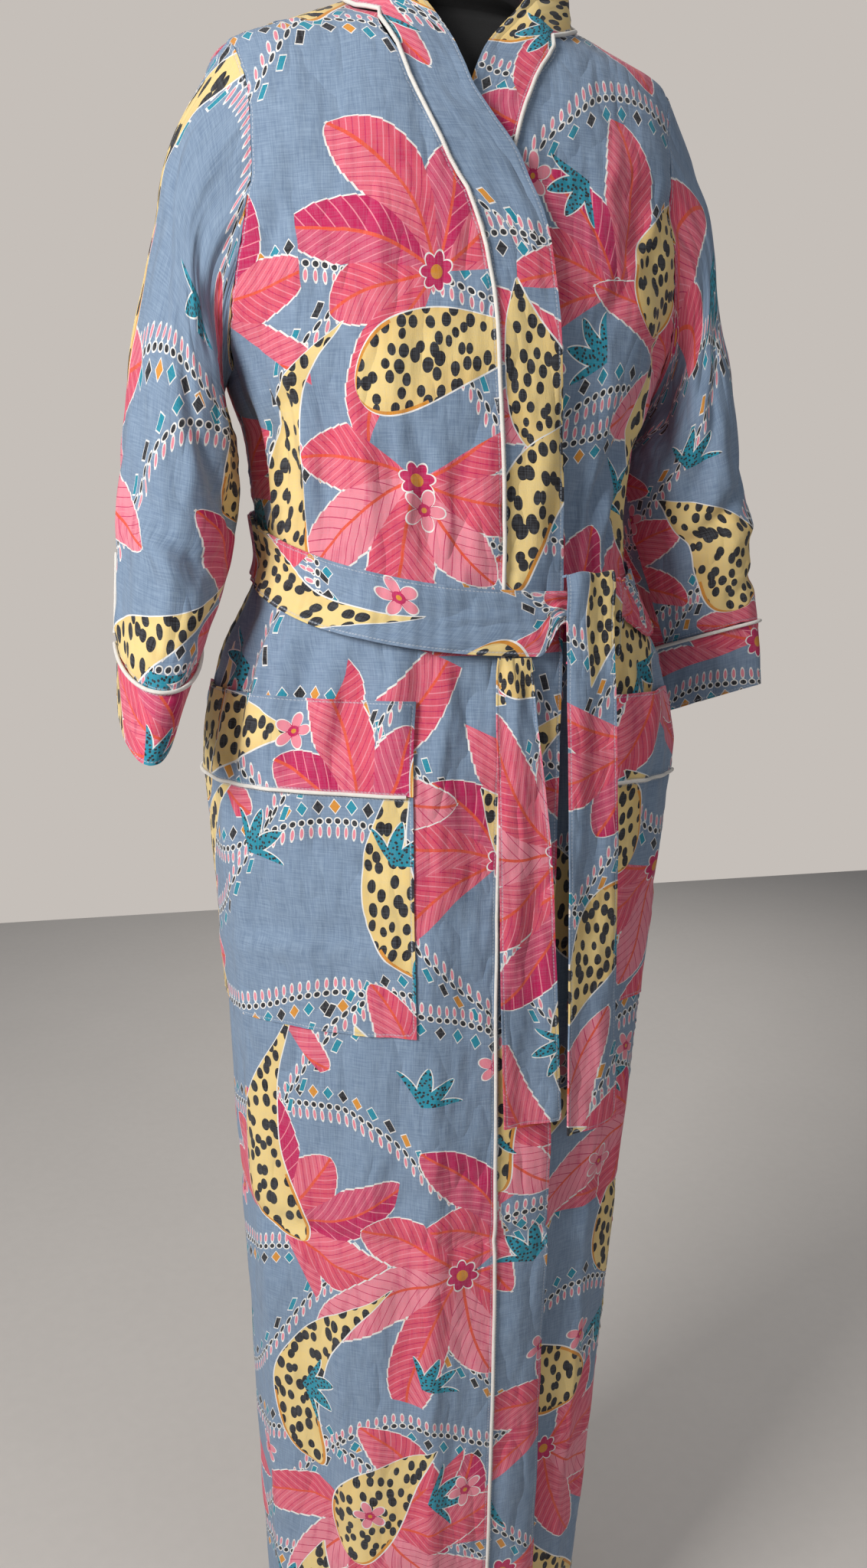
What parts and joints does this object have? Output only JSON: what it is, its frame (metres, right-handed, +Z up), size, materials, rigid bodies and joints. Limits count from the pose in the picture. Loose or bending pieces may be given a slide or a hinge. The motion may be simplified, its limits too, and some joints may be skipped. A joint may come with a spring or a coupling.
{
  "type": "kimono robe on dress form",
  "caption": "Full-length wrap robe with dropped three-quarter sleeves, standing neckband, patch pockets and tied belt, worn open at neck and hem by a limbless dress form on a round base.",
  "frame": {"origin": "centre of the flat underside of the dress form's round base, on the floor", "axes": "+Z up, the robe's front faces -Y and the wearer's left is +X"},
  "size_m": [0.5535, 0.36, 1.562],
  "materials": {
    "print_cloth": "plain-woven cotton with an all-over botanical print",
    "piping": "white corded cotton piping",
    "form_jersey": "smooth black jersey over a padded form",
    "stand_metal": "satin black powder coat"
  },
  "bodies": {
    "root": {"back": "print_cloth", "front_right": "print_cloth", "front_left": "print_cloth", "sleeve_right": "print_cloth", "sleeve_left": "print_cloth", "cuff_right": "print_cloth", "cuff_left": "print_cloth", "band_right": "print_cloth", "band_left": "print_cloth", "pocket_right": "print_cloth", "pocket_left": "print_cloth", "pocket_band_right": "print_cloth", "pocket_band_left": "print_cloth", "piping_front_right": "piping", "piping_front_left": "piping", "piping_cuff_right": "piping", "piping_cuff_left": "piping", "piping_slit_right": "piping", "piping_slit_left": "piping", "piping_pocket_right": "piping", "piping_pocket_left": "piping", "belt_wrap": "print_cloth", "belt_knot": "print_cloth", "belt_end_a": "print_cloth", "belt_end_b": "print_cloth", "form_torso": "form_jersey", "form_pole": "stand_metal", "form_base": "stand_metal"}
  },
  "joints": []
}
